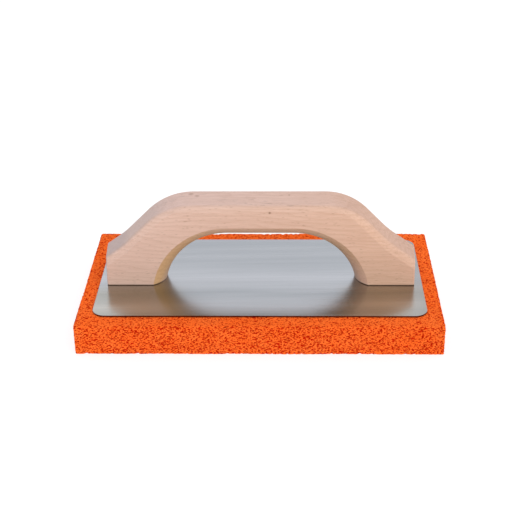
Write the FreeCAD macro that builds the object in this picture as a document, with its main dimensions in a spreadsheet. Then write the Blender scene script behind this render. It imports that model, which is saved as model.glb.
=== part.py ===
"""Sponge rubber float: a beech grip screwed to a steel plate that is glued onto a sponge rubber pad.

Frame: +X along the float, +Y across it, +Z up, origin at the centre of the pad's underside.
Lengths are in millimetres and angles in degrees.
"""
import FreeCAD
import Part
import Sketcher
import math
import os

DIMENSIONS = [
    # Sponge rubber pad, the working face of the float.
    ("pad_length", 240.0),
    ("pad_width", 140.0),
    ("pad_height", 20.6),
    ("pad_corner_radius", 1.0),
    # Contact adhesive between the pad and the plate.
    ("film_thickness", 0.4),
    ("film_inset", 1.0),
    # Steel backing plate.
    ("plate_length", 221.0),
    ("plate_width", 116.0),
    ("plate_thickness", 1.0),
    ("plate_corner_radius", 9.0),
    # Outer outline of the grip: heights are above the plate, reaches are from the middle of the float.
    # The grip is shaped by hand, so its left shoulder is a little fuller than its right one. It is drawn as
    # longer stock, and its two ends are then sawn off a little out of square.
    ("stock_half_length", 110.0),
    ("front_reach", 105.0),
    ("left_rear_reach", 107.2),
    ("right_rear_reach", 106.5),
    ("grip_thickness", 30.0),
    ("grip_height", 58.5),
    ("left_stock_height", 17.1),
    ("left_knee_reach", 94.2),
    ("left_knee_height", 28.5),
    ("left_shoulder_reach", 64.1),
    ("left_shoulder_radius", 46.0),
    ("right_stock_height", 15.0),
    ("right_knee_reach", 88.0),
    ("right_knee_height", 30.7),
    ("right_shoulder_reach", 61.1),
    ("right_shoulder_radius", 41.0),
    ("knee_radius", 60.0),
    ("end_edge_radius", 1.2),
    # Broken edge of the grip: how far it reaches in from each side face, the outline it leaves on that
    # face (wider on the slopes than along the top), and the round that blends it into the outside.
    ("break_depth", 2.0),
    ("rim_height", 54.8),
    ("left_rim_stock_height", 10.6),
    ("left_rim_knee_reach", 90.6),
    ("left_rim_knee_height", 24.6),
    ("left_rim_shoulder_reach", 60.3),
    ("right_rim_stock_height", 8.5),
    ("right_rim_knee_reach", 84.9),
    ("right_rim_knee_height", 26.4),
    ("right_rim_shoulder_reach", 57.4),
    ("rim_shoulder_radius", 22.0),
    ("break_round", 3.0),
    # Finger arch: its height and flat stretch at the middle of the thickness, and the round of its section.
    ("arch_height", 34.6),
    ("arch_flat", 45.2),
    ("arch_radius", 43.4),
    ("arch_section_radius", 17.7),
    ("cutter_margin", 1.0),
    # Countersunk wood screws, driven from below through pressed dimples in the plate.
    ("screw_reach", 88.0),
    ("screw_offset", 7.0),
    ("screw_length", 16.0),
    ("screw_diameter", 4.0),
    ("head_diameter", 8.0),
    ("head_recess", 0.1),
    ("tip_length", 4.0),
    ("tip_diameter", 0.6),
    ("drive_length", 4.4),
    ("drive_width", 1.0),
    ("drive_depth", 1.5),
    # Dimples in the plate and the holes that take the screws.
    ("dimple_height", 2.0),
    ("dimple_diameter", 9.2),
    ("seat_diameter", 8.4),
    ("clearance_hole_diameter", 4.3),
    ("recess_diameter", 9.4),
    ("pilot_diameter", 4.1),
    ("pilot_depth", 15.8),
    ("countersink_angle", 90.0),
]
VALUES = dict(DIMENSIONS)

# Which way each screw lies from the middle of the float, along X and along Y.
SCREW_SIDES = {
    "left_front": (-1, -1),
    "left_rear": (-1, 1),
    "right_front": (1, -1),
    "right_rear": (1, 1),
}
SIZE_TOLERANCE = 1e-4

doc = FreeCAD.newDocument("sponge_float")


def make_sheet():
    """Put the driving dimensions in a spreadsheet, one aliased cell each."""
    sheet = doc.addObject("Spreadsheet::Sheet", "dims")
    for row, (alias, number) in enumerate(DIMENSIONS, start=1):
        sheet.set(f"A{row}", alias)
        sheet.set(f"B{row}", str(number))
        sheet.setAlias(f"B{row}", alias)
    doc.recompute()


def make_body(label):
    """Start a sub-part; its label is the name of its file."""
    body = doc.addObject("PartDesign::Body", label)
    body.Label = label
    return body


def origin_plane(body, role):
    """One of the body's own origin planes."""
    for feature in body.Origin.OriginFeatures:
        if feature.Role == role:
            return feature
    raise ValueError(f"{body.Label} has no {role}")


def make_sketch(body, name, role):
    """A sketch lying on one of the body's origin planes."""
    sketch = body.newObject("Sketcher::SketchObject", name)
    sketch.AttachmentSupport = (origin_plane(body, role), [""])
    sketch.MapMode = "FlatFace"
    return sketch


def dimension(sketch, kind, *where):
    """Add a driving constraint; the last item is the expression, the one before it a starting value."""
    *elements, start, expression = where
    index = sketch.addConstraint(Sketcher.Constraint(kind, *elements, start))
    sketch.setExpression(f"Constraints[{index}]", expression)


def relate(sketch, kind, *elements):
    """Add a geometric constraint."""
    sketch.addConstraint(Sketcher.Constraint(kind, *elements))


def add_rectangle(sketch, length, width, length_expression, width_expression):
    """A rectangle centred on the sketch's origin."""
    corners = [(-length, -width), (length, -width), (length, width), (-length, width)]
    points = [FreeCAD.Vector(x / 2, y / 2, 0) for x, y in corners]
    for start, end in zip(points, points[1:] + points[:1]):
        sketch.addGeometry(Part.LineSegment(start, end))
    for edge in range(4):
        relate(sketch, "Coincident", edge, 2, (edge + 1) % 4, 1)
    for edge in (0, 2):
        relate(sketch, "Horizontal", edge)
    for edge in (1, 3):
        relate(sketch, "Vertical", edge)
    relate(sketch, "Symmetric", 0, 1, 1, 2, -1, 1)
    dimension(sketch, "DistanceX", 0, 1, 0, 2, length, length_expression)
    dimension(sketch, "DistanceY", 1, 1, 1, 2, width, width_expression)


def signed_value(term):
    """The number that a signed alias stands for."""
    if not term:
        return 0.0
    if term.startswith("-"):
        return -VALUES[term[1:]]
    return VALUES[term]


def place_point(sketch, edge, term, distance_kind, align_kind):
    """Hold an edge's first point at a signed distance from the sketch's origin."""
    if not term:
        relate(sketch, "PointOnObject", edge, 1, -1 if align_kind == "Horizontal" else -2)
        return
    if term.startswith("-"):
        dimension(sketch, distance_kind, edge, 1, -1, 1, -signed_value(term), f"dims.{term[1:]}")
    else:
        dimension(sketch, distance_kind, -1, 1, edge, 1, signed_value(term), f"dims.{term}")


def add_screw_circles(sketch, diameter, expression):
    """One circle at each of the four screw places."""
    reach = VALUES["screw_reach"]
    offset = VALUES["screw_offset"]
    for index, (side_x, side_y) in enumerate(SCREW_SIDES.values()):
        centre = FreeCAD.Vector(side_x * reach, side_y * offset, 0)
        sketch.addGeometry(Part.Circle(centre, FreeCAD.Vector(0, 0, 1), diameter / 2))
        dimension(sketch, "Diameter", index, diameter, expression)
        ends_x = (-1, 1, index, 3) if side_x > 0 else (index, 3, -1, 1)
        ends_y = (-1, 1, index, 3) if side_y > 0 else (index, 3, -1, 1)
        dimension(sketch, "DistanceX", *ends_x, reach, "dims.screw_reach")
        dimension(sketch, "DistanceY", *ends_y, offset, "dims.screw_offset")


def add_pad(body, name, sketch, expression):
    """Extrude a sketch along its normal."""
    pad = body.newObject("PartDesign::Pad", name)
    pad.Profile = sketch
    pad.setExpression("Length", expression)
    return pad


def add_fillet(body, name, base, wanted, expression):
    """Round the edges of the base feature that the test accepts."""
    doc.recompute()
    names = [f"Edge{i}" for i, edge in enumerate(base.Shape.Edges, start=1) if wanted(edge)]
    if not names:
        raise ValueError(f"{name} found no edges")
    fillet = body.newObject("PartDesign::Fillet", name)
    fillet.Base = (base, names)
    fillet.setExpression("Radius", expression)
    doc.recompute()
    return fillet


def is_upright(edge):
    """True for a straight edge along Z."""
    box = edge.BoundBox
    return box.XLength < SIZE_TOLERANCE and box.YLength < SIZE_TOLERANCE


def lift(body, expression):
    """Stand a sub-part at a height above the underside of the pad."""
    body.setExpression("Placement.Base.z", expression)


def make_sponge_pad():
    body = make_body("sponge_pad")
    sketch = make_sketch(body, "pad_outline", "XY_Plane")
    add_rectangle(sketch, VALUES["pad_length"], VALUES["pad_width"], "dims.pad_length", "dims.pad_width")
    block = add_pad(body, "pad_block", sketch, "dims.pad_height")
    add_fillet(body, "pad_corners", block, is_upright, "dims.pad_corner_radius")
    return body


def make_plate_blank(body, inset, thickness_expression):
    """A plate with round corners, drawn in from the backing plate's edge by the inset."""
    margin = 2 * VALUES[inset] if inset else 0.0
    minus = f" - 2 * dims.{inset}" if inset else ""
    sketch = make_sketch(body, f"{body.Label}_outline", "XY_Plane")
    length = VALUES["plate_length"] - margin
    width = VALUES["plate_width"] - margin
    add_rectangle(sketch, length, width, f"dims.plate_length{minus}", f"dims.plate_width{minus}")
    blank = add_pad(body, f"{body.Label}_blank", sketch, thickness_expression)
    return add_fillet(body, f"{body.Label}_corners", blank, is_upright, "dims.plate_corner_radius")


def make_adhesive_film():
    body = make_body("adhesive_film")
    make_plate_blank(body, "film_inset", "dims.film_thickness")
    lift(body, "dims.pad_height")
    return body


def add_screw_holes(body, name, diameter, mouth, depth):
    """Four countersunk holes that go up from the body's underside; no depth means right through."""
    sketch = make_sketch(body, f"{name}_places", "XY_Plane")
    add_screw_circles(sketch, VALUES[diameter], f"dims.{diameter}")
    doc.recompute()
    hole = body.newObject("PartDesign::Hole", name)
    hole.Profile = sketch
    hole.Threaded = False
    hole.ThreadType = "None"
    hole.HoleCutType = "Countersink"
    hole.HoleCutCustomValues = True
    hole.Reversed = True
    hole.setExpression("Diameter", f"dims.{diameter}")
    hole.setExpression("HoleCutDiameter", f"dims.{mouth}")
    hole.setExpression("HoleCutCountersinkAngle", "dims.countersink_angle")
    if depth:
        hole.DepthType = "Dimension"
        hole.setExpression("Depth", f"dims.{depth}")
        hole.DrillPoint = "Flat"
    else:
        hole.DepthType = "ThroughAll"
    doc.recompute()


def make_backing_plate():
    body = make_body("backing_plate")
    make_plate_blank(body, "", "dims.plate_thickness")
    dimple_sketch = make_sketch(body, "dimple_places", "XY_Plane")
    dimple_sketch.setExpression("AttachmentOffset.Base.z", "dims.plate_thickness")
    add_screw_circles(dimple_sketch, VALUES["dimple_diameter"], "dims.dimple_diameter")
    dimples = add_pad(body, "dimples", dimple_sketch, "dims.dimple_height")
    dimples.setExpression("TaperAngle", "-dims.countersink_angle / 2")
    add_screw_holes(body, "screw_seats", "clearance_hole_diameter", "seat_diameter", "")
    lift(body, "dims.pad_height + dims.film_thickness")
    return body


def add_arch_outline(sketch):
    """The finger arch seen from the side: a flat stretch between two quarter rounds, closed below."""
    radius = VALUES["arch_radius"]
    half_flat = VALUES["arch_flat"] / 2
    top = VALUES["arch_height"]
    low = top - radius
    normal = FreeCAD.Vector(0, 0, 1)
    right_round = Part.Circle(FreeCAD.Vector(half_flat, low, 0), normal, radius)
    left_round = Part.Circle(FreeCAD.Vector(-half_flat, low, 0), normal, radius)
    right_foot = FreeCAD.Vector(half_flat + radius, low, 0)
    left_foot = FreeCAD.Vector(-half_flat - radius, low, 0)
    top_right = FreeCAD.Vector(half_flat, top, 0)
    top_left = FreeCAD.Vector(-half_flat, top, 0)
    sketch.addGeometry(Part.ArcOfCircle(right_round, 0, math.pi / 2))
    sketch.addGeometry(Part.LineSegment(top_right, top_left))
    sketch.addGeometry(Part.ArcOfCircle(left_round, math.pi / 2, math.pi))
    sketch.addGeometry(Part.LineSegment(left_foot, right_foot))
    relate(sketch, "Tangent", 0, 2, 1, 1)
    relate(sketch, "Tangent", 1, 2, 2, 1)
    relate(sketch, "Coincident", 2, 2, 3, 1)
    relate(sketch, "Coincident", 3, 2, 0, 1)
    relate(sketch, "PointOnObject", 0, 3, 3)
    relate(sketch, "PointOnObject", 2, 3, 3)
    relate(sketch, "Symmetric", 3, 1, 3, 2, -2)
    relate(sketch, "Equal", 0, 2)
    dimension(sketch, "Radius", 0, radius, "dims.arch_radius")
    dimension(sketch, "DistanceX", 2, 3, 0, 3, 2 * half_flat, "dims.arch_flat")
    dimension(sketch, "DistanceY", -1, 1, 1, 1, top, "dims.arch_height")


def add_arch_section(sketch):
    """What is planed off the arch's edges: the outside of one round that bulges into the opening."""
    radius = VALUES["arch_section_radius"]
    reach = VALUES["grip_thickness"] / 2 + VALUES["cutter_margin"]
    crown = VALUES["arch_flat"] / 2 + VALUES["arch_radius"]
    centre = FreeCAD.Vector(crown + radius, 0, 0)
    half_turn = math.asin(reach / radius)
    tip = centre.x - radius * math.cos(half_turn)
    back = crown - VALUES["cutter_margin"]
    circle = Part.Circle(centre, FreeCAD.Vector(0, 0, 1), radius)
    sketch.addGeometry(Part.ArcOfCircle(circle, math.pi - half_turn, math.pi + half_turn))
    sketch.addGeometry(Part.LineSegment(FreeCAD.Vector(tip, -reach, 0), FreeCAD.Vector(back, -reach, 0)))
    sketch.addGeometry(Part.LineSegment(FreeCAD.Vector(back, -reach, 0), FreeCAD.Vector(back, reach, 0)))
    sketch.addGeometry(Part.LineSegment(FreeCAD.Vector(back, reach, 0), FreeCAD.Vector(tip, reach, 0)))
    relate(sketch, "Coincident", 0, 2, 1, 1)
    relate(sketch, "Coincident", 1, 2, 2, 1)
    relate(sketch, "Coincident", 2, 2, 3, 1)
    relate(sketch, "Coincident", 3, 2, 0, 1)
    relate(sketch, "Horizontal", 1)
    relate(sketch, "Horizontal", 3)
    relate(sketch, "Symmetric", 2, 1, 2, 2, -1)
    relate(sketch, "PointOnObject", 0, 3, -1)
    crown_expression = "dims.arch_flat / 2 + dims.arch_radius"
    dimension(sketch, "Radius", 0, radius, "dims.arch_section_radius")
    dimension(
        sketch, "DistanceY", 2, 1, 2, 2, 2 * reach, "dims.grip_thickness + 2 * dims.cutter_margin"
    )
    dimension(
        sketch, "DistanceX", -1, 1, 0, 3, centre.x, f"{crown_expression} + dims.arch_section_radius"
    )
    dimension(sketch, "DistanceX", -1, 1, 2, 1, back, f"{crown_expression} - dims.cutter_margin")


def cut_arch(body):
    """Open the finger arch, then plane its inner edges to a round section."""
    opening_sketch = make_sketch(body, "arch_outline", "XZ_Plane")
    add_arch_outline(opening_sketch)
    opening = body.newObject("PartDesign::Pocket", "arch_opening")
    opening.Profile = opening_sketch
    opening.Type = "ThroughAll"
    opening.SideType = "Symmetric"
    section_sketch = make_sketch(body, "arch_section", "XY_Plane")
    section_sketch.setExpression("AttachmentOffset.Base.z", "dims.arch_height - dims.arch_radius")
    add_arch_section(section_sketch)
    doc.recompute()
    rounding = body.newObject("PartDesign::SubtractivePipe", "arch_rounding")
    rounding.Profile = section_sketch
    rounding.Spine = (opening_sketch, ["Edge1", "Edge2", "Edge3"])
    doc.recompute()


def add_side_outline(sketch, corners):
    """A closed outline with some of its corners rounded.

    Each corner is its two signed aliases and the alias of its radius, or an empty text for a sharp one.
    A rounded corner keeps a construction point where its two straight edges would meet.
    """
    normal = FreeCAD.Vector(0, 0, 1)
    points = [FreeCAD.Vector(signed_value(across), signed_value(up), 0) for across, up, _ in corners]
    starts = []
    ends = []
    arcs = {}
    for index, (_, _, radius) in enumerate(corners):
        to_last = (points[index - 1] - points[index]).normalize()
        to_next = (points[(index + 1) % len(points)] - points[index]).normalize()
        half = to_last.getAngle(to_next) / 2
        reach = VALUES[radius] / math.tan(half) if radius else 0.0
        ends.append(points[index] + to_last * reach)
        starts.append(points[index] + to_next * reach)
        if radius:
            middle = (to_last + to_next).normalize()
            centre = points[index] + middle * (VALUES[radius] / math.sin(half))
            nearest = centre - middle * VALUES[radius]
            arcs[index] = Part.Arc(ends[index], nearest, starts[index])
    lines = []
    rounds = {}
    for index in range(len(points)):
        after = (index + 1) % len(points)
        lines.append(sketch.addGeometry(Part.LineSegment(starts[index], ends[after])))
        if after in arcs:
            rounds[after] = sketch.addGeometry(arcs[after])
    for index, (across, up, radius) in enumerate(corners):
        last = lines[index - 1]
        line = lines[index]
        if not radius:
            relate(sketch, "Coincident", last, 2, line, 1)
            place_point(sketch, line, across, "DistanceX", "Vertical")
            place_point(sketch, line, up, "DistanceY", "Horizontal")
            continue
        arc = rounds[index]
        clockwise = (starts[index] - ends[index]).cross(points[index] - ends[index]).dot(normal) > 0
        first, second = (2, 1) if clockwise else (1, 2)
        relate(sketch, "Tangent", last, 2, arc, first)
        relate(sketch, "Tangent", arc, second, line, 1)
        dimension(sketch, "Radius", arc, VALUES[radius], f"dims.{radius}")
        corner = sketch.addGeometry(Part.Point(points[index]), True)
        relate(sketch, "PointOnObject", corner, 1, last)
        relate(sketch, "PointOnObject", corner, 1, line)
        place_point(sketch, corner, across, "DistanceX", "Vertical")
        place_point(sketch, corner, up, "DistanceY", "Horizontal")


def is_blended_edge(edge):
    """True for the edges where the grip's outside meets its broken edges."""
    box = edge.BoundBox
    seam = VALUES["grip_thickness"] / 2 - VALUES["break_depth"]
    above_the_foot = box.ZMax > VALUES["right_rim_stock_height"]
    return box.YLength < SIZE_TOLERANCE and abs(abs(box.Center.y) - seam) < 0.01 and above_the_foot


def is_on_sawn_end(point):
    """True for a point on one of the two sawn ends."""
    rear_reach = VALUES["right_rear_reach"] if point.x > 0 else VALUES["left_rear_reach"]
    front_reach = VALUES["front_reach"]
    rearward = 0.5 + point.y / VALUES["grip_thickness"]
    return abs(abs(point.x) - front_reach - (rear_reach - front_reach) * rearward) < 0.01


def is_end_edge(edge):
    """True for the edges around the grip's two sawn ends, except the ones on its base."""
    points = [vertex.Point for vertex in edge.Vertexes]
    return edge.BoundBox.ZMax > 0.01 and all(is_on_sawn_end(point) for point in points)


def break_edges(body, outline, rim):
    """Slope the material from the grip's outside down to its two side faces, then blend it in."""
    front = body.newObject("PartDesign::AdditiveLoft", "broken_edge_front")
    front.Profile = outline
    front.Sections = [rim]
    front.Ruled = True
    rear = body.newObject("PartDesign::Mirrored", "broken_edge_rear")
    rear.Originals = [front]
    rear.MirrorPlane = (origin_plane(body, "XZ_Plane"), [""])
    body.Tip = rear
    add_fillet(body, "edge_blend", rear, is_blended_edge, "dims.break_round")


def add_offcuts(sketch):
    """What is sawn off the grip's two ends, seen from above."""
    half = VALUES["grip_thickness"] / 2
    far = VALUES["stock_half_length"] + VALUES["cutter_margin"]
    for side, rear_reach in ((-1, "left_rear_reach"), (1, "right_rear_reach")):
        corners = [
            FreeCAD.Vector(side * VALUES["front_reach"], -half, 0),
            FreeCAD.Vector(side * VALUES[rear_reach], half, 0),
            FreeCAD.Vector(side * far, half, 0),
            FreeCAD.Vector(side * far, -half, 0),
        ]
        ends = zip(corners, corners[1:] + corners[:1])
        lines = [sketch.addGeometry(Part.LineSegment(start, end)) for start, end in ends]
        for last, line in zip(lines, lines[1:] + lines[:1]):
            relate(sketch, "Coincident", last, 2, line, 1)
        relate(sketch, "Horizontal", lines[1])
        relate(sketch, "Horizontal", lines[3])
        relate(sketch, "Symmetric", lines[2], 1, lines[2], 2, -1)
        dimension(sketch, "DistanceY", lines[2], 2, lines[2], 1, 2 * half, "dims.grip_thickness")
        reaches = (
            (VALUES["front_reach"], "dims.front_reach"),
            (VALUES[rear_reach], f"dims.{rear_reach}"),
            (far, "dims.stock_half_length + dims.cutter_margin"),
        )
        for line, (reach, expression) in zip(lines, reaches):
            points = (-1, 1, line, 1) if side > 0 else (line, 1, -1, 1)
            dimension(sketch, "DistanceX", *points, reach, expression)


def saw_ends(body):
    """Cut the grip to length, then round the edges of the cuts."""
    offcuts = make_sketch(body, "offcuts", "XY_Plane")
    add_offcuts(offcuts)
    cut = body.newObject("PartDesign::Pocket", "sawn_ends")
    cut.Profile = offcuts
    cut.Type = "ThroughAll"
    cut.SideType = "Symmetric"
    add_fillet(body, "end_edges", cut, is_end_edge, "dims.end_edge_radius")


def make_grip():
    body = make_body("wooden_grip")
    outline = make_sketch(body, "side_outline", "XZ_Plane")
    outline.setExpression("AttachmentOffset.Base.z", "dims.grip_thickness / 2 - dims.break_depth")
    add_side_outline(
        outline,
        [
            ("-stock_half_length", "", ""),
            ("stock_half_length", "", ""),
            ("stock_half_length", "right_stock_height", ""),
            ("right_knee_reach", "right_knee_height", "knee_radius"),
            ("right_shoulder_reach", "grip_height", "right_shoulder_radius"),
            ("-left_shoulder_reach", "grip_height", "left_shoulder_radius"),
            ("-left_knee_reach", "left_knee_height", "knee_radius"),
            ("-stock_half_length", "left_stock_height", ""),
        ],
    )
    rim = make_sketch(body, "face_outline", "XZ_Plane")
    rim.setExpression("AttachmentOffset.Base.z", "dims.grip_thickness / 2")
    add_side_outline(
        rim,
        [
            ("-stock_half_length", "", ""),
            ("stock_half_length", "", ""),
            ("stock_half_length", "right_rim_stock_height", ""),
            ("right_rim_knee_reach", "right_rim_knee_height", "knee_radius"),
            ("right_rim_shoulder_reach", "rim_height", "rim_shoulder_radius"),
            ("-left_rim_shoulder_reach", "rim_height", "rim_shoulder_radius"),
            ("-left_rim_knee_reach", "left_rim_knee_height", "knee_radius"),
            ("-stock_half_length", "left_rim_stock_height", ""),
        ],
    )
    block = add_pad(body, "grip_block", outline, "dims.grip_thickness - 2 * dims.break_depth")
    block.Reversed = True
    break_edges(body, outline, rim)
    saw_ends(body)
    cut_arch(body)
    add_screw_holes(body, "screw_pilots", "pilot_diameter", "recess_diameter", "pilot_depth")
    lift(body, "dims.pad_height + dims.film_thickness + dims.plate_thickness")
    return body


def add_screw_profile(sketch):
    """Half of the screw's outline, from its flat head at the bottom up to its tip."""
    shank = VALUES["screw_diameter"] / 2
    head = VALUES["head_diameter"] / 2
    tip = VALUES["tip_diameter"] / 2
    length = VALUES["screw_length"]
    shoulder = length - VALUES["tip_length"]
    corners = [(0, 0), (head, 0), (shank, head - shank), (shank, shoulder), (tip, length), (0, length)]
    points = [FreeCAD.Vector(x, y, 0) for x, y in corners]
    for start, end in zip(points, points[1:] + points[:1]):
        sketch.addGeometry(Part.LineSegment(start, end))
    for edge in range(6):
        relate(sketch, "Coincident", edge, 2, (edge + 1) % 6, 1)
    relate(sketch, "Coincident", 0, 1, -1, 1)
    relate(sketch, "Horizontal", 0)
    relate(sketch, "Vertical", 2)
    relate(sketch, "Horizontal", 4)
    relate(sketch, "PointOnObject", 4, 2, -2)
    dimension(sketch, "DistanceX", -1, 1, 1, 1, head, "dims.head_diameter / 2")
    dimension(sketch, "DistanceX", -1, 1, 2, 1, shank, "dims.screw_diameter / 2")
    dimension(
        sketch, "DistanceY", -1, 1, 2, 1, head - shank, "(dims.head_diameter - dims.screw_diameter) / 2"
    )
    dimension(sketch, "DistanceY", -1, 1, 2, 2, shoulder, "dims.screw_length - dims.tip_length")
    dimension(sketch, "DistanceX", -1, 1, 4, 1, tip, "dims.tip_diameter / 2")
    dimension(sketch, "DistanceY", -1, 1, 4, 1, length, "dims.screw_length")


def make_screw(place, side_x, side_y):
    body = make_body(f"wood_screw_{place}")
    profile = make_sketch(body, f"{place}_profile", "XZ_Plane")
    add_screw_profile(profile)
    turned = body.newObject("PartDesign::Revolution", f"{place}_turned")
    turned.Profile = profile
    turned.ReferenceAxis = (profile, ["V_Axis"])
    turned.Angle = 360
    slots = {"along": ("drive_length", "drive_width"), "across": ("drive_width", "drive_length")}
    for name, (size_x, size_y) in slots.items():
        slot = make_sketch(body, f"{place}_slot_{name}", "XY_Plane")
        add_rectangle(slot, VALUES[size_x], VALUES[size_y], f"dims.{size_x}", f"dims.{size_y}")
        recess = body.newObject("PartDesign::Pocket", f"{place}_recess_{name}")
        recess.Profile = slot
        recess.Reversed = True
        recess.setExpression("Length", "dims.drive_depth")
    body.setExpression("Placement.Base.x", f"{side_x} * dims.screw_reach")
    body.setExpression("Placement.Base.y", f"{side_y} * dims.screw_offset")
    lift(body, "dims.pad_height + dims.film_thickness + dims.head_recess")
    return body


def check(bodies):
    """Stop before anything is written if an object failed or a sub-part isn't a sound solid."""
    for item in doc.Objects:
        if "Invalid" in item.State or "Error" in item.State:
            raise RuntimeError(f"{item.Name} is {item.State}")
    for body in bodies:
        shape = body.Shape
        if shape.isNull() or not shape.isValid() or len(shape.Solids) != 1:
            raise RuntimeError(f"{body.Label} isn't one valid solid")
        box = shape.optimalBoundingBox(False)
        print(
            f"{body.Label}: {shape.Volume / 1000:.2f} cm3, "
            f"X {box.XMin:.2f}..{box.XMax:.2f}, Y {box.YMin:.2f}..{box.YMax:.2f}, "
            f"Z {box.ZMin:.2f}..{box.ZMax:.2f}"
        )


make_sheet()
parts = [make_sponge_pad(), make_adhesive_film(), make_backing_plate(), make_grip()]
parts += [make_screw(place, side_x, side_y) for place, (side_x, side_y) in SCREW_SIDES.items()]
doc.recompute()
check(parts)
os.makedirs("parts", exist_ok=True)
for part in parts:
    part.Shape.exportStep(f"parts/{part.Label}.step")
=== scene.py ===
"""Looks of the sponge rubber float: its foam pad, steel plate, wooden grip, floor, light and camera.

Everything is in metres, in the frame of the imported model: +X along the float, +Y across it, +Z up.
"""
import itertools
import math
import random

import bpy
from mathutils import Matrix, Vector, noise
from mathutils.geometry import delaunay_2d_cdt


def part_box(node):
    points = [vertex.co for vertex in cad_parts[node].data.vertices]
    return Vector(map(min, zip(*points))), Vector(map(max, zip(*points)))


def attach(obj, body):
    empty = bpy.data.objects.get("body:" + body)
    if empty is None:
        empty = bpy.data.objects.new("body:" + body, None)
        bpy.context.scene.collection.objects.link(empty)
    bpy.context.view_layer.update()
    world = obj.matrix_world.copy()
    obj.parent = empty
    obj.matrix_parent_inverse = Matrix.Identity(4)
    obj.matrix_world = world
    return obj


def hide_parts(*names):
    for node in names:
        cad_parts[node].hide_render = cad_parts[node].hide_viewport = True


MM = 0.001
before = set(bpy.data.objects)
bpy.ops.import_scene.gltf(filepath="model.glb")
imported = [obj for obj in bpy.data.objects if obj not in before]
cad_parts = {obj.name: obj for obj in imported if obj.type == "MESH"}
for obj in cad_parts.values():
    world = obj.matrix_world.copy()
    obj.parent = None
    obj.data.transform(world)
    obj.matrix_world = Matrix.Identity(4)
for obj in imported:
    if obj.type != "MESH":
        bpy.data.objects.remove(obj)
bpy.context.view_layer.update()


# ---------------------------------------------------------------- camera, light and floor

SENSOR = 36.0
LENS = 85.1
CLIP_START = 0.01
CAMERA_PLACE = Vector((0.0180, -0.7755, 0.4192))
CAMERA_TURN = math.radians(1.12)
CAMERA_TILT = math.radians(63.36)
CAMERA_ROLL = math.radians(-0.465)

# The surround's own colour, then the sides that differ: an axis, where along it the change starts and ends,
# and the colour that it reaches.
SURROUND_BASE = (0.76, 0.79, 0.82)
SURROUND = [
    ("X", 0.10, -0.80, (0.70, 0.75, 0.80)),
    ("Z", 0.45, 1.00, (1.00, 1.02, 1.04)),
    ("Y", 0.15, 0.85, (1.12, 1.18, 1.38)),
]
KEY_FROM = Vector((0.48, -0.82, 0.42))
KEY_SOFTNESS = math.radians(45)
KEY_STRENGTH = 1.02
KEY_COLOUR = (1.0, 0.94, 0.86)

FLOOR_REACH = 6.0
FLOOR_COLOUR = (0.30, 0.30, 0.30, 1.0)
FLOOR_GLOW_COLOUR = (1.0, 1.0, 1.0, 1.0)
FLOOR_GLOW = 0.76
FLOOR_ROUGHNESS = 0.9


def add_camera():
    data = bpy.data.cameras.new("camera")
    data.sensor_width = SENSOR
    data.lens = LENS
    data.clip_start = CLIP_START
    camera = bpy.data.objects.new("camera", data)
    turn = Matrix.Rotation(CAMERA_TURN, 4, "Z")
    tilt = Matrix.Rotation(CAMERA_TILT, 4, "X")
    roll = Matrix.Rotation(CAMERA_ROLL, 4, "Z")
    camera.matrix_world = Matrix.Translation(CAMERA_PLACE) @ turn @ tilt @ roll
    bpy.context.scene.collection.objects.link(camera)
    bpy.context.scene.camera = camera


def add_surround():
    """A pale surround: a little dimmer on the left, brighter above, and brightest and coolest behind."""
    world = bpy.data.worlds.new("studio")
    bpy.context.scene.world = world
    world.use_nodes = True
    nodes = world.node_tree.nodes
    links = world.node_tree.links
    direction = nodes.new("ShaderNodeSeparateXYZ")
    links.new(nodes.new("ShaderNodeTexCoord").outputs["Generated"], direction.inputs["Vector"])
    tone = None
    for axis, start, end, colour in SURROUND:
        share = nodes.new("ShaderNodeMapRange")
        share.inputs["From Min"].default_value = start
        share.inputs["From Max"].default_value = end
        links.new(direction.outputs[axis], share.inputs["Value"])
        mixed = nodes.new("ShaderNodeMix")
        mixed.data_type = "RGBA"
        mixed.inputs["A"].default_value = (*SURROUND_BASE, 1.0)
        mixed.inputs["B"].default_value = (*colour, 1.0)
        if tone is not None:
            links.new(tone, mixed.inputs["A"])
        links.new(share.outputs["Result"], mixed.inputs["Factor"])
        tone = mixed.outputs["Result"]
    links.new(tone, nodes["Background"].inputs["Color"])


def add_key_light():
    """A broad, warm, far-off light."""
    data = bpy.data.lights.new("key", "SUN")
    data.energy = KEY_STRENGTH
    data.angle = KEY_SOFTNESS
    data.color = KEY_COLOUR
    lamp = bpy.data.objects.new("key", data)
    lamp.rotation_euler = KEY_FROM.to_track_quat("Z", "Y").to_euler()
    bpy.context.scene.collection.objects.link(lamp)


def add_light():
    """A white studio: the surround and the key light from the front right."""
    add_surround()
    add_key_light()
    bpy.context.scene.view_settings.view_transform = "Standard"


def add_floor():
    """A wide pale light table: it glows a little, which keeps shadows faint."""
    corners = [(x * FLOOR_REACH, y * FLOOR_REACH, 0) for x, y in ((-1, -1), (1, -1), (1, 1), (-1, 1))]
    mesh = bpy.data.meshes.new("floor")
    mesh.from_pydata(corners, [], [(0, 1, 2, 3)])
    floor = bpy.data.objects.new("floor", mesh)
    bpy.context.scene.collection.objects.link(floor)
    material = bpy.data.materials.new("pale_floor")
    material.use_nodes = True
    shader = material.node_tree.nodes["Principled BSDF"]
    shader.inputs["Base Color"].default_value = FLOOR_COLOUR
    shader.inputs["Emission Color"].default_value = FLOOR_GLOW_COLOUR
    shader.inputs["Emission Strength"].default_value = FLOOR_GLOW
    shader.inputs["Roughness"].default_value = FLOOR_ROUGHNESS
    shader.inputs["Specular IOR Level"].default_value = 0.0
    mesh.materials.append(material)


# ---------------------------------------------------------------- sponge pad

SEED = 7
AXES = (Vector((1, 0, 0)), Vector((0, 1, 0)), Vector((0, 0, 1)))

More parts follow.
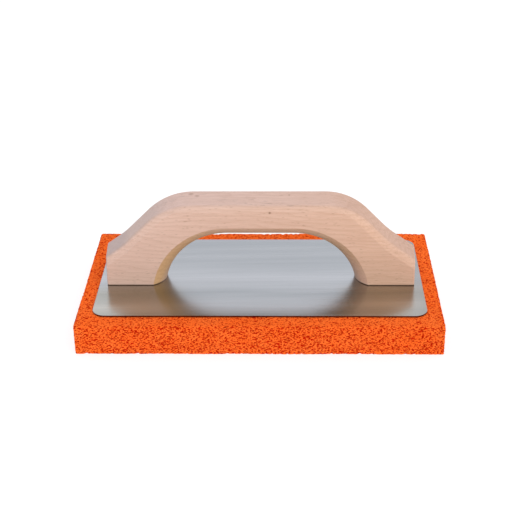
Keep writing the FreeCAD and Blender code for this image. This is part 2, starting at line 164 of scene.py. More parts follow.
# How far the foam stands out past the CAD block at its sides and at its top, and how far it is lifted off the
# floor.
SWELL = 0.55 * MM
SWELL_ABOVE = 0.38 * MM
LIFT = 0.15 * MM

# The cut isn't quite flat: how high and how long its waves are.
WAVE_HEIGHT = 0.20 * MM
WAVE_LENGTH = 30 * MM

# The edges of the block: the step between their points, the share of it that a point may stray, how far in an
# ordinary nick and a deep one go at most, how many are deep, the least share of its depth that a nick has,
# and how far the corners are worn.
EDGE_STEP = 1.15 * MM
EDGE_STRAY = 0.3
EDGE_NICK = 0.28 * MM
DEEP_NICK = 0.95 * MM
DEEP_NICK_SHARE = 0.15
LEAST_NICK_SHARE = 0.2
CORNER_PULL = 0.40 * MM

# The pores: the least gap between two of them and between one and an edge, how much wider they count there,
# where the next pore looks for room and where a ridge does, how strongly small ones are preferred, and how
# many places are tried for each.
PORE_GAP = 0.10 * MM
BORDER_GAP = 0.30 * MM
BORDER_SPREAD = 1.2
PORE_SPREAD = 1.12
RIDGE_SPREAD = 1.35
SMALL_BIAS = 1.5
TRIES_PER_PORE = 60

# The shape of a pore: the points of its rim, how far out they lie as shares of the radius, how far they drop
# and between which shares of that, and how far the floor's point strays, as a share of the radius.
RIM_POINTS = 6
RIM_REACH = (0.72, 1.12)
RIM_DROP = 0.16 * MM
RIM_DROP_SHARES = (0.3, 1.7)
FLOOR_STRAY = 0.25

# How far a ridge point may drop, and the share of it by which it rises or drops at most.
RIDGE_DROP = 0.20 * MM
RIDGE_DROP_SHARE = 0.6

# How deep in a pore each kind of point counts as for the painted pore shade: 0 is on a ridge and 1 on a
# pore's floor.
RIDGE_DEPTH = 0.0
NICK_DEPTH = 0.05
CORNER_DEPTH = 0.1
RIM_DEPTH = 0.12
DEEP_NICK_DEPTH = 0.5
FLOOR_DEPTH = 1.0

# How open the small cells are along the edges of the block.
EDGE_CELLS = 0.6

# Where the plate covers the top, pores only reach this far in under it.
HIDDEN_INSET = 7 * MM

# Points of a side that are closer than this become one.
SAME_POINT = 0.0001 * MM


class Look:
    """How the pores of one kind of cut look."""

    def __init__(self, spacing, smallest, largest, shallowest, deepest, stretch, ridges, cells):
        self.spacing = spacing
        self.smallest = smallest
        self.largest = largest
        self.shallowest = shallowest
        self.deepest = deepest
        self.stretch = stretch
        self.ridges = ridges
        self.cells = cells


# Spacing and radii in metres, depth as a share of the radius, how much longer than wide the pores are, how
# many ridge points are tried to a pore, and how open the small cells between the pores are.
SIDE_LOOK = Look(1.52 * MM, 0.28 * MM, 0.84 * MM, 1.1, 1.9, 1.9, 0.2, 1.1)
TOP_LOOK = Look(2.00 * MM, 0.26 * MM, 0.76 * MM, 0.9, 1.7, 1.15, 0.6, 0.15)
BASE_LOOK = Look(3.30 * MM, 0.42 * MM, 1.15 * MM, 0.9, 1.7, 1.15, 0.6, 0.7)


class Skin:
    """The sponge's surface as it grows: points, how deep in a pore and how open each is, and triangles."""

    def __init__(self):
        self.points = []
        self.depths = []
        self.cells = []
        self.faces = []

    def add(self, point, depth, cells):
        """Add a point and return its number."""
        self.points.append(point)
        self.depths.append(depth)
        self.cells.append(cells)
        return len(self.points) - 1


class Side:
    """One flat side of the pad: a corner, two directions along it, the way out, and the look of its pores.

    Its own coordinates are squeezed along and stretched up by the look's stretch, so that what is round in
    them is longer than high on the pad.
    """

    def __init__(self, corner, along, up, length, width, look):
        squeeze = look.stretch**0.5
        self.corner = corner
        self.out = along.cross(up)
        self.along = along * squeeze
        self.up = up / squeeze
        self.length = length / squeeze
        self.width = width * squeeze
        self.look = look

    def place(self, across, up):
        """Where a pair of the side's own coordinates is on the pad."""
        return self.corner + self.along * across + self.up * up

    def flat(self, point):
        """The side's own coordinates of a place on the pad."""
        offset = point - self.corner
        across = offset.dot(self.along) / self.along.length_squared
        up = offset.dot(self.up) / self.up.length_squared
        return across, up


class PoreMap:
    """The pores of a side, sorted into squares so that the ones near a place are found quickly.

    A square is wide enough that a pore only ever touches pores of its own square and of the ones around it.
    """

    def __init__(self, largest):
        self.step = 2 * BORDER_SPREAD * largest + PORE_GAP
        self.squares = {}
        self.pores = []

    def square(self, across, up):
        return int(across // self.step), int(up // self.step)

    def add(self, across, up, radius):
        self.squares.setdefault(self.square(across, up), []).append((across, up, radius))
        self.pores.append((across, up, radius))

    def touches(self, across, up, radius, spread):
        """True if a round of this radius would meet a pore, each widened by the spread."""
        column, row = self.square(across, up)
        for i, j in itertools.product((-1, 0, 1), repeat=2):
            for pore_across, pore_up, pore_radius in self.squares.get((column + i, row + j), ()):
                distance = math.hypot(across - pore_across, up - pore_up)
                if distance < spread * (radius + pore_radius) + PORE_GAP:
                    return True
        return False


def wave(point):
    """How far the uneven cut lies inside the block at this place, or outside it where this is negative."""
    return WAVE_HEIGHT * noise.noise(point / WAVE_LENGTH)


def is_within(area, across, up):
    return area is not None and area[0] < across < area[2] and area[1] < up < area[3]


def scatter_pores(side, hidden, draw):
    """Random places for the pores of a side, none of them overlapping."""
    look = side.look
    wanted = int(side.length * side.width / look.spacing**2)
    if hidden is not None:
        wanted -= int((hidden[2] - hidden[0]) * (hidden[3] - hidden[1]) / look.spacing**2)
    pore_map = PoreMap(look.largest)
    tries = wanted * TRIES_PER_PORE
    for attempt in range(tries):
        shrink = 1 - attempt / tries
        radius = look.smallest + (look.largest - look.smallest) * draw.random() ** SMALL_BIAS * shrink
        margin = radius * BORDER_SPREAD + BORDER_GAP
        across = draw.uniform(margin, side.length - margin)
        up = draw.uniform(margin, side.width - margin)
        if is_within(hidden, across, up) or pore_map.touches(across, up, radius, PORE_SPREAD):
            continue
        pore_map.add(across, up, radius)
        if len(pore_map.pores) >= wanted:
            break
    return pore_map


def pore_outline(pore, draw):
    """The uneven rim of one pore, as points of its side."""
    across, up, radius = pore
    start = draw.uniform(0, math.tau)
    outline = []
    for step in range(RIM_POINTS):
        angle = start + math.tau * step / RIM_POINTS
        reach = radius * draw.uniform(*RIM_REACH)
        outline.append((across + reach * math.cos(angle), up + reach * math.sin(angle)))
    return outline


def add_edge(skin, start, end, out_a, out_b, draw):
    """Points along one edge of the block, nicked inwards, as pairs of a number and a place unnicked."""
    count = round((end - start).length / EDGE_STEP)
    chain = []
    for step in range(1, count):
        place = start.lerp(end, (step + draw.uniform(-EDGE_STRAY, EDGE_STRAY)) / count)
        is_deep = draw.random() < DEEP_NICK_SHARE
        nick = DEEP_NICK if is_deep else EDGE_NICK
        depth = DEEP_NICK_DEPTH if is_deep else NICK_DEPTH
        pull = out_a * draw.uniform(LEAST_NICK_SHARE, 1.0) + out_b * draw.uniform(LEAST_NICK_SHARE, 1.0)
        point = place - pull * nick - (out_a + out_b) * wave(place)
        chain.append((skin.add(point, depth, EDGE_CELLS), place))
    return chain


def add_rims(skin, side, pores, flats, numbers, draw):
    """Add the points around the pores of a side, and return where each rim's points are in the lists."""
    rims = []
    for pore in pores:
        first = len(flats)
        for point in pore_outline(pore, draw):
            place = side.place(*point)
            drop = wave(place) + RIM_DROP * draw.uniform(*RIM_DROP_SHARES)
            flats.append(point)
            numbers.append(skin.add(place - side.out * drop, RIM_DEPTH, side.look.cells))
        rims.append(list(range(first, len(flats))))
    return rims


def add_ridges(skin, side, pore_map, hidden, flats, numbers, draw):
    """Add uneven points between the pores of a side, where there is room."""
    for _ in range(int(len(pore_map.pores) * side.look.ridges)):
        across = draw.uniform(BORDER_GAP, side.length - BORDER_GAP)
        up = draw.uniform(BORDER_GAP, side.width - BORDER_GAP)
        if is_within(hidden, across, up) or pore_map.touches(across, up, 0.0, RIDGE_SPREAD):
            continue
        place = side.place(across, up)
        drop = wave(place) + RIDGE_DROP * draw.uniform(-RIDGE_DROP_SHARE, RIDGE_DROP_SHARE)
        flats.append((across, up))
        numbers.append(skin.add(place - side.out * drop, RIDGE_DEPTH, side.look.cells))


def sink_pore(skin, side, pore, rim, draw):
    """Close one pore below its rim with walls that meet on its floor."""
    across, up, radius = pore
    depth = radius * draw.uniform(side.look.shallowest, side.look.deepest)
    stray = FLOOR_STRAY * radius
    centre = side.place(across + draw.uniform(-stray, stray), up + draw.uniform(-stray, stray))
    floor = skin.add(centre - side.out * (wave(centre) + depth), FLOOR_DEPTH, side.look.cells)
    for start, end in zip(rim, rim[1:] + rim[:1]):
        skin.faces.append([start, end, floor])


def fill_side(skin, side, border, hidden, draw):
    """Cover one side with triangles around its pores, and sink the pores into it."""
    numbers = [number for number, place in border]
    flats = [side.flat(place) for number, place in border]
    pore_map = scatter_pores(side, hidden, draw)
    rims = add_rims(skin, side, pore_map.pores, flats, numbers, draw)
    add_ridges(skin, side, pore_map, hidden, flats, numbers, draw)
    outline = list(range(len(border)))
    flat_points = [Vector(flat) for flat in flats]
    found = delaunay_2d_cdt(flat_points, [], [outline] + rims, 1, SAME_POINT, True)
    faces, old_points, old_faces = found[2], found[3], found[5]
    for face, around in zip(faces, old_faces):
        # Between the pores, a triangle lies in the outline alone and in no rim.
        if around == [0]:
            skin.faces.append([numbers[old_points[i][0]] for i in face])
    for pore, rim in zip(pore_map.pores, rims):
        sink_pore(skin, side, pore, [numbers[i] for i in rim], draw)


def add_corners(skin, low, high):
    """The block's worn corners, as a number and an unworn place, by low (0) or high (1) on each axis."""
    corners = {}
    for ends in itertools.product((0, 1), repeat=3):
        place = Vector([(high if end else low)[axis] for axis, end in enumerate(ends)])
        inwards = Vector([1 - 2 * end for end in ends])
        corners[ends] = (skin.add(place + inwards * CORNER_PULL, CORNER_DEPTH, EDGE_CELLS), place)
    return corners


def add_edges(skin, corners, draw):
    """The points along the block's edges, by the corner that each edge starts and the one that it ends at."""
    edges = {}
    for start, (_, place) in corners.items():
        for axis in range(3):
            if start[axis]:
                continue
            end = tuple(1 if i == axis else start[i] for i in range(3))
            outs = [AXES[i] * (2 * start[i] - 1) for i in range(3) if i != axis]
            chain = add_edge(skin, place, corners[end][1], *outs, draw)
            edges[start, end] = chain
            edges[end, start] = chain[::-1]
    return edges


def grow_skin(low, high):
    """The whole surface of the block from low to high."""
    draw = random.Random(SEED)
    skin = Skin()
    corners = add_corners(skin, low, high)
    edges = add_edges(skin, corners, draw)
    length, width, height = high - low
    x_axis, y_axis, z_axis = AXES
    # The corners round each side, two directions along it, its size and its look. In order: the front, the
    # right end, the back, the left end, the top and the base.
    sides = [
        (((0, 0, 0), (1, 0, 0), (1, 0, 1), (0, 0, 1)), x_axis, z_axis, length, height, SIDE_LOOK),
        (((1, 0, 0), (1, 1, 0), (1, 1, 1), (1, 0, 1)), y_axis, z_axis, width, height, SIDE_LOOK),
        (((1, 1, 0), (0, 1, 0), (0, 1, 1), (1, 1, 1)), -x_axis, z_axis, length, height, SIDE_LOOK),
        (((0, 1, 0), (0, 0, 0), (0, 0, 1), (0, 1, 1)), -y_axis, z_axis, width, height, SIDE_LOOK),
        (((0, 0, 1), (1, 0, 1), (1, 1, 1), (0, 1, 1)), x_axis, y_axis, length, width, TOP_LOOK),
        (((0, 1, 0), (1, 1, 0), (1, 0, 0), (0, 0, 0)), x_axis, -y_axis, length, width, BASE_LOOK),
    ]
    plate_low, plate_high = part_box("backing_plate")
    inset = Vector((HIDDEN_INSET, HIDDEN_INSET, 0))
    for loop, along, up, side_length, side_width, look in sides:
        side = Side(corners[loop[0]][1], along, up, side_length, side_width, look)
        border = []
        for start, end in zip(loop, loop[1:] + loop[:1]):
            border += [corners[start]] + edges[start, end]
        hidden = None
        if look is TOP_LOOK:
            hidden = (*side.flat(plate_low + inset), *side.flat(plate_high - inset))
        fill_side(skin, side, border, hidden, draw)
    return skin


def add_sponge_pad():
    """The open-celled rubber block: every side is cut through the cells, so it is full of pores."""
    low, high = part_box("sponge_pad")
    skin = grow_skin(low - Vector((SWELL, SWELL, -LIFT)), high + Vector((SWELL, SWELL, SWELL_ABOVE)))
    mesh = bpy.data.meshes.new("sponge_pad_foam")
    mesh.from_pydata(skin.points, [], skin.faces)
    mesh.attributes.new("pore", "FLOAT", "POINT").data.foreach_set("value", skin.depths)
    mesh.attributes.new("cells", "FLOAT", "POINT").data.foreach_set("value", skin.cells)
    mesh.validate()
    mesh.shade_smooth()
    mesh.materials.append(make_sponge_material())
    pad = bpy.data.objects.new("sponge_pad_foam", mesh)
    bpy.context.scene.collection.objects.link(pad)
    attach(pad, "root")
    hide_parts("sponge_pad")
    print("sponge pad:", len(skin.points), "points", len(skin.faces), "triangles")


# ---------------------------------------------------------------- materials


class Recipe:
    """A material's nodes, with short ways to add and join them."""

    def __init__(self, name):
        self.material = bpy.data.materials.new(name)
        self.material.use_nodes = True
        self.tree = self.material.node_tree
        self.shader = self.tree.nodes["Principled BSDF"]

    def add(self, kind, **settings):
        node = self.tree.nodes.new(kind)
        for name, setting in settings.items():
            setattr(node, name, setting)
        return node

    def join(self, source, target):
        self.tree.links.new(source, target)

    def feed(self, socket, term):
        """Give a socket a number, a colour or a link."""
        if isinstance(term, (int, float)):
            socket.default_value = term
        elif isinstance(term, tuple):
            socket.default_value = (*term, 1.0)
        else:
            self.join(term, socket)

    def set(self, **numbers):
        """Set the shader's own sockets."""
        for name, number in numbers.items():
            self.shader.inputs[name.replace("_", " ")].default_value = number

    def colour(self, colour):
        self.join(colour, self.shader.inputs["Base Color"])

    def roughness(self, roughness):
        self.join(roughness, self.shader.inputs["Roughness"])

    def bump(self, height, distance):
        node = self.add("ShaderNodeBump")
        node.inputs["Distance"].default_value = distance
        self.join(height, node.inputs["Height"])
        self.join(node.outputs["Normal"], self.shader.inputs["Normal"])

    def place(self, stretch=(1, 1, 1), turn=0.0):
        """Object coordinates, in metres, turned about Z by some degrees and then times a stretch."""
        vector = self.add("ShaderNodeTexCoord").outputs["Object"]
        if turn:
            turned = self.add("ShaderNodeMapping", vector_type="POINT")
            turned.inputs["Rotation"].default_value = (0, 0, math.radians(turn))
            self.join(vector, turned.inputs["Vector"])
            vector = turned.outputs["Vector"]
        mapping = self.add("ShaderNodeMapping", vector_type="POINT")
        mapping.inputs["Scale"].default_value = stretch
        self.join(vector, mapping.inputs["Vector"])
        return mapping.outputs["Vector"]

    def split(self, vector):
        """The X, Y and Z of a vector."""
        node = self.add("ShaderNodeSeparateXYZ")
        self.join(vector, node.inputs["Vector"])
        return [node.outputs[axis] for axis in "XYZ"]

    def facing(self):
        """The X, Y and Z of the direction that the surface faces."""
        return self.split(self.add("ShaderNodeNewGeometry").outputs["Normal"])

    def attribute(self, name):
        return self.add("ShaderNodeAttribute", attribute_name=name).outputs["Fac"]

    def noise(self, stretch, detail=2.0, rough=0.5, turn=0.0):
        """Noise from 0 to 1 whose grains are one over the stretch in size."""
        node = self.add("ShaderNodeTexNoise")
        node.inputs["Scale"].default_value = 1.0
        node.inputs["Detail"].default_value = detail
        node.inputs["Roughness"].default_value = rough
        self.join(self.place(stretch, turn), node.inputs["Vector"])
        return node.outputs["Fac"]

    def cells(self, stretch):
        """How far each place is from the middle of its random cell, whose size is one over the stretch."""
        node = self.add("ShaderNodeTexVoronoi")
        node.inputs["Scale"].default_value = 1.0
        self.join(self.place(stretch), node.inputs["Vector"])
        return node.outputs["Distance"]

    def math(self, operation, first, second=0.0):
        node = self.add("ShaderNodeMath", operation=operation)
        self.feed(node.inputs[0], first)
        self.feed(node.inputs[1], second)
        return node.outputs["Value"]

    def sum(self, first, second):
        return self.math("ADD", first, second)

    def times(self, first, second):
        return self.math("MULTIPLY", first, second)

    def magnitude(self, source):
        return self.math("ABSOLUTE", source)

    def distance(self, vector, point):
        node = self.add("ShaderNodeVectorMath", operation="DISTANCE")
        self.join(vector, node.inputs[0])
        node.inputs[1].default_value = point
        return node.outputs["Value"]

    def band(self, source, start, end, low=0.0, high=1.0):
        """Carry the range from start to end over to the range from low to high, without overshoot."""
        node = self.add("ShaderNodeMapRange")
        for name, number in zip(("From Min", "From Max", "To Min", "To Max"), (start, end, low, high)):
            node.inputs[name].default_value = number
        self.join(source, node.inputs["Value"])
        return node.outputs["Result"]

    def mix(self, amount, first, second, blend="MIX"):
        """Mix two colours; each may be a colour or a socket."""
        node = self.add("ShaderNodeMix", data_type="RGBA", blend_type=blend)
        self.feed(node.inputs["Factor"], amount)
        self.feed(node.inputs["A"], first)
        self.feed(node.inputs["B"], second)
        return node.outputs["Result"]

    def tint(self, amount, colour, tint):
        """Multiply a colour by some amount of a tint."""
        return self.mix(amount, colour, tint, "MULTIPLY")


FOAM_SKIN = ((1.00, 0.155, 0.022), (1.00, 0.185, 0.032))
FOAM_GRAIN = (0.93, 0.075, 0.004)
FOAM_PORE_SHADE = (0.58, 0.012, 0.001)
FOAM_BUMP = 0.3 * MM
GRAIN_STRENGTH = 0.38

# How much the small cells open for each unit of the points' own openness, and between which amounts they open
# further in patches.
CELL_OPENING = 0.045
PATCH_OPENING = (-0.012, 0.016)


def make_sponge_material():
    """Orange rubber: lighter on the ridges, with painted shade, deep red, in the pores and in the small cells
    between them.
    """
    recipe = Recipe("sponge_rubber")
    lumps = recipe.noise((860, 860, 1650), detail=1.0)
    grain = recipe.noise((2100, 2100, 2300), rough=0.6)
    patches = recipe.noise((90, 90, 120))
    skin = recipe.mix(recipe.band(patches, 0.3, 0.7), *FOAM_SKIN)
    skin = recipe.mix(recipe.band(grain, 0.42, 0.62, 0.0, GRAIN_STRENGTH), skin, FOAM_GRAIN)
    open_areas = recipe.band(recipe.noise((55, 55, 80)), 0.35, 0.65, *PATCH_OPENING)
    opened = recipe.sum(recipe.times(recipe.attribute("cells"), CELL_OPENING), open_areas)
    cell = recipe.band(recipe.math("SUBTRACT", lumps, opened), 0.405, 0.345)
    # Painted shade: deep red by how deep a point lies in its pore, and in the small cells.
    shade = recipe.math("MAXIMUM", cell, recipe.band(recipe.attribute("pore"), 0.13, 0.42))
    recipe.colour(recipe.mix(shade, skin, FOAM_PORE_SHADE))
    recipe.set(Roughness=1.0, Specular_IOR_Level=0.0)
    recipe.bump(recipe.math("SUBTRACT", recipe.times(grain, 0.5), cell), FOAM_BUMP)
    return recipe.material


# The growth rings: where the heart of the tree was, in front of the grip and below it, how wide a ring is,
# how far the rings wander, and how much they lean along the grip.
HEART_Y = -34 * MM
HEART_Z = -60 * MM
RING_WIDTH = 3.6 * MM
RING_WANDER = 10 * MM
RING_LEAN = 0.05

BEECH = ((0.690, 0.440, 0.335), (0.740, 0.480, 0.370))
LATE_WOOD = (0.590, 0.355, 0.250)
FIBRE = (0.570, 0.345, 0.250)
FINE_FIBRE = (0.530, 0.315, 0.225)
FLECK = (0.345, 0.200, 0.130)
GRIME = (0.250, 0.165, 0.120)
BLEMISH = (0.230, 0.120, 0.065)
END_GRAIN = (0.520, 0.375, 0.315)
VESSEL = (0.36, 0.24, 0.19)
WOOD_BUMP = 0.08 * MM

# How strongly each of these shows over the bare beech.
RING_STRENGTH = 0.42
FIBRE_STRENGTH = 0.50
FINE_FIBRE_STRENGTH = 0.45
FLECK_STRENGTH = 0.60
GRIME_STRENGTH = 0.65
END_GRAIN_STRENGTH = 0.80
# Painted shade on the left slope, in the end grain's colours.
LEFT_SLOPE_SHADE_STRENGTH = 0.65
VESSEL_STRENGTH = 0.45

# A dark line of painted shadow where the grip stands on the plate: where above the foot it starts to fade and
# where it ends.
PAINTED_FOOT_SHADOW = (0.050, 0.022, 0.012)
PAINTED_FOOT_SHADOW_FADE = (0.35 * MM, 0.75 * MM)
PAINTED_FOOT_SHADOW_STRENGTH = 0.92

# A slow change of tone from the left end of the grip to the right; painted cool shade on what faces up;
# painted shade on the right slope, and on the toe of the left slope, below these heights above the foot.
CAST_ENDS = (-90 * MM, 70 * MM)
PINK_CAST = (1.00, 1.08, 1.17)
STRAW_CAST = (0.99, 0.99, 0.95)
PAINTED_COOL_TOP = (0.92, 0.94, 1.0)
PAINTED_COOL_TOP_STRENGTH = 0.3825
PAINTED_RIGHT_SLOPE_SHADE = (0.91, 0.87, 0.83)
PAINTED_LEFT_TOE_SHADE = (0.84, 0.87, 0.92)
PAINTED_TOE_SHADE_HEIGHTS = (34 * MM, 26 * MM)

# Painted light and shade on the sawn inside of the finger arch: how far out it reaches, the heights above the
# foot between which the low tints give way to the high ones, each of them where it faces left and where it
# faces right, and how strongly they show at the top of the arch.
ARCH_REACH = (86 * MM, 80 * MM)
ARCH_HEIGHTS = (6 * MM, 26 * MM)
ARCH_LOW_PAINTED_LIGHT = ((1.12, 1.09, 1.12), (0.97, 0.87, 0.56))
ARCH_HIGH_PAINTED_LIGHT = ((0.92, 0.90, 0.76), (0.93, 0.84, 0.56))
ARCH_TOP_STRENGTH = 0.4

# Small natural blemishes of the grip: where, how far each reaches and how strong it is; and the share of its
# reach at which it starts to fade.
BLEMISHES = [
    ((0.0065, -0.0150, 0.0763), 1.0 * MM, 0.75),
    ((0.0195, 0.0055, 0.0805), 0.9 * MM, 0.65),
    ((-0.0472, 0.0073, 0.0800), 2.4 * MM, 0.45),
    ((-0.0429, 0.0039, 0.0805), 2.0 * MM, 0.40),
]
BLEMISH_CORE = 0.4


def late_wood(recipe):
    """The darker part of each growth ring."""
    x, y, z = recipe.split(recipe.place())
    off_y = recipe.math("POWER", recipe.sum(y, -HEART_Y), 2.0)
    off_z = recipe.math("POWER", recipe.sum(z, -HEART_Z), 2.0)
    from_heart = recipe.math("SQRT", recipe.sum(off_y, off_z))
    leaning = recipe.sum(from_heart, recipe.times(x, RING_LEAN))
    wander = recipe.band(recipe.noise((13, 38, 38), detail=3.0), 0.0, 1.0, -RING_WANDER, RING_WANDER)
    rings = recipe.math("FRACT", recipe.math("DIVIDE", recipe.sum(leaning, wander), RING_WIDTH))
    return recipe.band(rings, 0.50, 0.97)


def wood_grain(recipe, fibres, flecks):
    """The colour of the bare wood: patches, rings, fibres and flecks."""
    fine_fibres = recipe.noise((110, 2400, 2400))
    colour = recipe.mix(recipe.band(recipe.noise((14, 45, 45)), 0.32, 0.68), *BEECH)
    colour = recipe.mix(recipe.times(late_wood(recipe), RING_STRENGTH), colour, LATE_WOOD)
    colour = recipe.mix(recipe.band(fibres, 0.38, 0.68, 0.0, FIBRE_STRENGTH), colour, FIBRE)
    colour = recipe.mix(recipe.band(fine_fibres, 0.52, 0.72, 0.0, FINE_FIBRE_STRENGTH), colour, FINE_FIBRE)
    return recipe.mix(recipe.times(flecks, FLECK_STRENGTH), colour, FLECK)


def add_grime(recipe, colour, face_z):
    """Faint scuffs along the top of the grip, in patches."""
    scuffs = recipe.band(recipe.noise((120, 900, 900)), 0.60, 0.72)
    dirty = recipe.band(recipe.noise((20, 60, 60), detail=1.0), 0.50, 0.62)
    upward = recipe.band(face_z, 0.6, 0.9, 0.0, GRIME_STRENGTH)
    return recipe.mix(recipe.times(recipe.times(dirty, scuffs), upward), colour, GRIME)


def paint_arch_light(recipe, colour, x, height, facing):
    """Painted light and shade on the finger arch's sawn inside, strongest on its legs."""
    face_x, face_y, face_z = facing
    inside = recipe.times(recipe.band(recipe.magnitude(x), *ARCH_REACH), recipe.band(face_z, 0.3, 0.0))
    inside = recipe.times(inside, recipe.band(recipe.magnitude(face_y), 0.96, 0.80))
    inside = recipe.times(inside, recipe.band(recipe.magnitude(face_x), 0.0, 0.5, ARCH_TOP_STRENGTH, 1.0))
    facing_right = recipe.band(face_x, -0.2, 0.2)
    low_painted_light = recipe.mix(facing_right, *ARCH_LOW_PAINTED_LIGHT)
    high_painted_light = recipe.mix(facing_right, *ARCH_HIGH_PAINTED_LIGHT)
    return recipe.tint(inside, colour, recipe.mix(recipe.band(height, *ARCH_HEIGHTS), low_painted_light, high_painted_light))


def add_end_grain(recipe, colour, face_x, left_shade_mask):
    """The greyer, pitted wood where the grip is cut across its fibres, and painted shade in its colours on
    the left slope.
    """
    end_grain = recipe.band(recipe.magnitude(face_x), 0.72, 1.0, 0.0, END_GRAIN_STRENGTH)
    painted_slope_shade = recipe.times(left_shade_mask, LEFT_SLOPE_SHADE_STRENGTH)
    end_grain = recipe.math("MAXIMUM", end_grain, painted_slope_shade)
    vessels = recipe.band(recipe.cells((1500, 2400, 2400)), 0.10, 0.34, 1.0, 0.0)
    pitted = recipe.mix(recipe.times(vessels, VESSEL_STRENGTH), END_GRAIN, VESSEL)
    return recipe.mix(end_grain, colour, pitted)


def make_wood_material():
    """Sanded beech: fibres along the grip, faint growth rings, short dark flecks, a greyer end grain, and
    painted light and shade.
    """
    recipe = Recipe("beech")
    x, _, z = recipe.split(recipe.place())
    height = recipe.math("SUBTRACT", z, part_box("wooden_grip")[0].z)
    facing = recipe.facing()
    face_x, face_y, face_z = facing
    fibres = recipe.noise((24, 800, 800), detail=4.0, rough=0.65)
    fleck = recipe.band(recipe.cells((240, 1700, 1700)), 0.14, 0.32, 1.0, 0.0)
    flecks = recipe.times(fleck, recipe.band(recipe.noise((110, 600, 600), detail=1.0), 0.48, 0.60))
    # Masks for painted shade: the left slope, its toe and the right slope.
    left_shade_mask = recipe.times(recipe.band(face_x, -0.35, -0.62), recipe.band(face_z, 0.0, 0.3))
    painted_toe_shade = recipe.times(left_shade_mask, recipe.band(height, *PAINTED_TOE_SHADE_HEIGHTS))
    right_shade_mask = recipe.times(recipe.band(face_x, 0.10, 0.45), recipe.band(face_y, -0.45, -0.15))

    colour = add_grime(recipe, wood_grain(recipe, fibres, flecks), face_z)
    colour = recipe.tint(1.0, colour, recipe.mix(recipe.band(x, *CAST_ENDS), PINK_CAST, STRAW_CAST))
    # Painted cool shade on what faces up.
    colour = recipe.tint(recipe.band(face_z, 0.25, 0.85, 0.0, PAINTED_COOL_TOP_STRENGTH), colour, PAINTED_COOL_TOP)
    # Painted light and shade inside the finger arch.
    colour = paint_arch_light(recipe, colour, x, height, facing)
    # Painted shade on the right slope.
    colour = recipe.tint(right_shade_mask, colour, PAINTED_RIGHT_SLOPE_SHADE)
    for spot, reach, strength in BLEMISHES:
        off = recipe.distance(recipe.place(), spot)
        blemish = recipe.band(off, BLEMISH_CORE * reach, reach, strength, 0.0)
        colour = recipe.mix(blemish, colour, BLEMISH)
    # Painted shadow: a dark line along the foot, just above the plate.
    colour = recipe.mix(recipe.band(height, *PAINTED_FOOT_SHADOW_FADE, PAINTED_FOOT_SHADOW_STRENGTH, 0.0), colour, PAINTED_FOOT_SHADOW)
    # The end grain, and painted shade in its colours on the left slope.
    colour = add_end_grain(recipe, colour, face_x, left_shade_mask)
    # Painted shade on the toe of the left slope.
    recipe.colour(recipe.tint(painted_toe_shade, colour, PAINTED_LEFT_TOE_SHADE))
    recipe.roughness(recipe.band(fibres, 0.3, 0.7, 0.52, 0.68))
    recipe.set(Specular_IOR_Level=0.3)
    recipe.bump(recipe.times(recipe.sum(fibres, flecks), -0.6), WOOD_BUMP)
    return recipe.material


STEEL = ((0.325, 0.330, 0.302), (0.475, 0.462, 0.425))
STEEL_STREAK = (0.270, 0.270, 0.245)
# Painted shade on the plate's cut edges.
PAINTED_EDGE_SHADE = (0.095, 0.070, 0.050)
STEEL_BUMP = 0.02 * MM

# How strongly these show over the plate's own tone.
STREAK_STRENGTH = 0.25
EDGE_SHADE_STRENGTH = 0.85
DULL_STRENGTH = 0.55

# The plate's roughness along its broad streaks, and how much its fine ones add.
BROAD_GLOSS = (0.18, 0.25)
FINE_GLOSS = (0.0, 0.04)

# Paler and darker bands that the rolls left along the plate: the middle, the reach to each side and the
# strength; and how far they wander.
ROLL_BANDS = [
    (-3 * MM, 22 * MM, 0.66),
    (-26 * MM, 7 * MM, -0.20),
    (-43 * MM, 15 * MM, 0.48),
    (50 * MM, 16 * MM, -0.12),
]
ROLL_WANDER = 9 * MM

# A painted warm reflection on the front corners of the plate, and a duller stretch at its right end: their
# tones, and where along and across the plate each starts and is full.
PAINTED_WARM_REFLECTION = (1.09, 1.03, 0.91)
REFLECTION_ALONG = (50 * MM, 78 * MM)
REFLECTION_ACROSS = (-10 * MM, -24 * MM)
DULL_STEEL = (0.290, 0.260, 0.215)
DULL_ALONG = (92 * MM, 108 * MM)


def steel_tone(recipe, broad, y):
    """How pale the steel is: broad streaks, and wandering bands along the plate."""
    wander = recipe.band(recipe.noise((8, 25, 25)), 0.0, 1.0, -ROLL_WANDER, ROLL_WANDER)
    across = recipe.sum(y, wander)
    tone = recipe.band(broad, 0.30, 0.70, 0.0, 0.50)
    for middle, reach, strength in ROLL_BANDS:
        off = recipe.magnitude(recipe.math("SUBTRACT", across, middle))
        tone = recipe.sum(tone, recipe.band(off, 0.0, reach, strength, 0.0))
    return tone


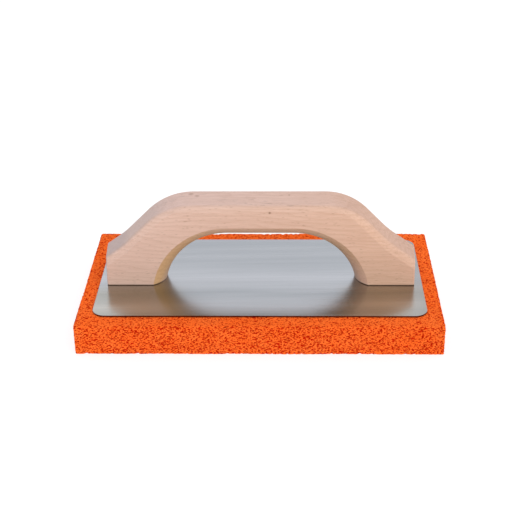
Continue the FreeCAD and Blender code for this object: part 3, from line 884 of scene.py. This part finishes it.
def make_steel_material():
    """Rolled sheet steel: soft streaks along the plate, in its tone, its gloss and its surface; painted
    reflection and edge shade.
    """
    recipe = Recipe("rolled_steel")
    broad = recipe.noise((4, 75, 75), detail=4.0, rough=0.55, turn=-2.5)
    fine = recipe.noise((9, 900, 400), detail=3.0, rough=0.6, turn=-1.0)
    x, y, _ = recipe.split(recipe.place(turn=-1.5))
    # Painted warm reflection near the plate's front corners.
    film = recipe.times(recipe.band(recipe.magnitude(x), *REFLECTION_ALONG), recipe.band(y, *REFLECTION_ACROSS))
    face_z = recipe.facing()[2]
    # Painted shade on the plate's cut edges.
    edge_shade = recipe.band(recipe.magnitude(face_z), 0.8, 0.3, 0.0, EDGE_SHADE_STRENGTH)

    colour = recipe.mix(steel_tone(recipe, broad, y), *STEEL)
    colour = recipe.mix(recipe.band(fine, 0.50, 0.75, 0.0, STREAK_STRENGTH), colour, STEEL_STREAK)
    # Painted warm reflection.
    colour = recipe.tint(film, colour, PAINTED_WARM_REFLECTION)
    colour = recipe.mix(recipe.band(x, *DULL_ALONG, 0.0, DULL_STRENGTH), colour, DULL_STEEL)
    recipe.colour(recipe.mix(edge_shade, colour, PAINTED_EDGE_SHADE))
    broad_gloss = recipe.band(broad, 0.3, 0.7, *BROAD_GLOSS)
    fine_gloss = recipe.band(fine, 0.3, 0.7, *FINE_GLOSS)
    recipe.roughness(recipe.sum(broad_gloss, fine_gloss))
    recipe.set(Metallic=1.0)
    recipe.bump(recipe.sum(broad, recipe.times(fine, 0.25)), STEEL_BUMP)
    return recipe.material


GLUE = ((0.42, 0.20, 0.07), (0.55, 0.30, 0.12))


def make_glue_material():
    """Dried contact adhesive: amber, slightly uneven."""
    recipe = Recipe("contact_adhesive")
    recipe.colour(recipe.mix(recipe.band(recipe.noise((300, 300, 300)), 0.3, 0.7), *GLUE))
    recipe.set(Roughness=0.5)
    return recipe.material


ZINC = ((0.58, 0.60, 0.62), (0.70, 0.71, 0.70))


def make_screw_material():
    """Zinc plated steel: pale, with a soft mottle."""
    recipe = Recipe("zinc_plate")
    recipe.colour(recipe.mix(recipe.band(recipe.noise((900, 900, 900)), 0.3, 0.7), *ZINC))
    recipe.set(Metallic=1.0, Roughness=0.35)
    return recipe.material


def dress(node, material):
    """Give a CAD node its material."""
    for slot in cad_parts[node].material_slots:
        slot.material = material


def dress_cad_nodes():
    dress("wooden_grip", make_wood_material())
    dress("backing_plate", make_steel_material())
    dress("adhesive_film", make_glue_material())
    screw_material = make_screw_material()
    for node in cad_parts:
        if node.startswith("wood_screw"):
            dress(node, screw_material)


add_camera()
add_light()
add_floor()
add_sponge_pad()
dress_cad_nodes()
